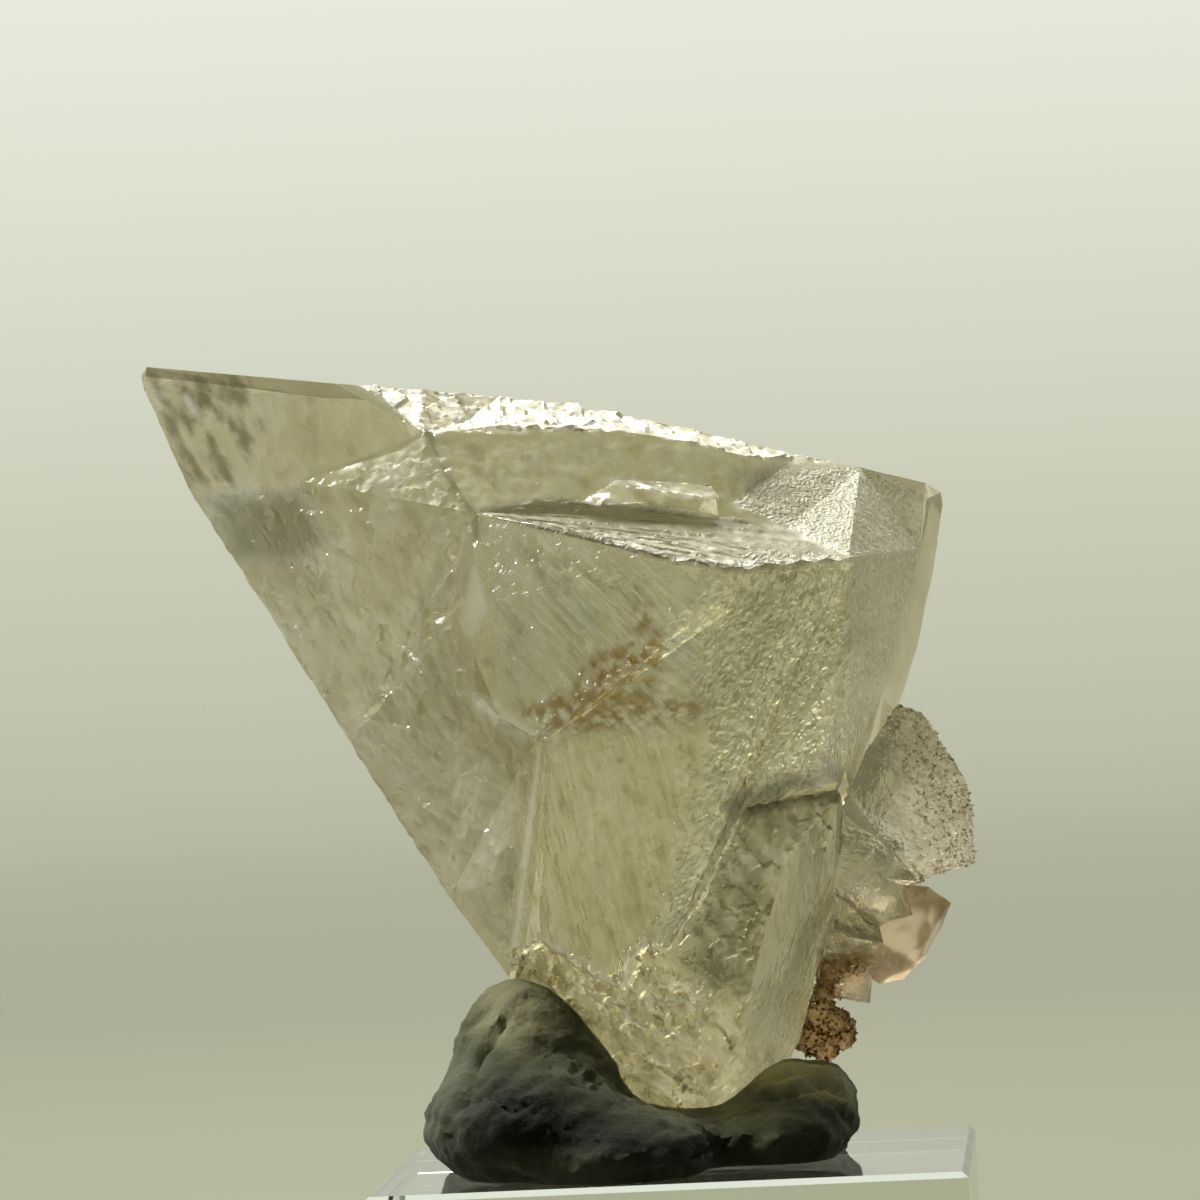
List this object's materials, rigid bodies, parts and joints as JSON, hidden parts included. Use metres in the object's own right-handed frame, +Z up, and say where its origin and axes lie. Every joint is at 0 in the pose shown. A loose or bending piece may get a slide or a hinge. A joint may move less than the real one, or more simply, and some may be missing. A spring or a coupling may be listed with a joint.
{
  "type": "amethyst specimen",
  "caption": "Large clear pale crystal with a small amethyst on its side, pressed by its point into putty on a clear square display block.",
  "frame": {"origin": "centre of the display block's underside", "axes": "+X along the block's front edge to the right, +Y away from the front, +Z up"},
  "size_m": [0.0694, 0.05, 0.0849],
  "materials": {
    "pale_calcite": "see-through pale straw crystal, smooth on some faces, finely etched on others",
    "amethyst_quartz": "smoky violet and clear quartz, sparkling outer side, brown knobs",
    "peach_crystal": "peach-tinted, half clear",
    "mineral_putty": "dark grey-green kneaded putty, matte with a slight sheen",
    "clear_acrylic": "clear, polished faces and edges"
  },
  "bodies": {
    "root": {"calcite_crystal": "pale_calcite", "amethyst_cluster": "amethyst_quartz", "peach_crystal": "peach_crystal", "mineral_putty": "mineral_putty", "acrylic_block": "clear_acrylic"}
  },
  "joints": []
}
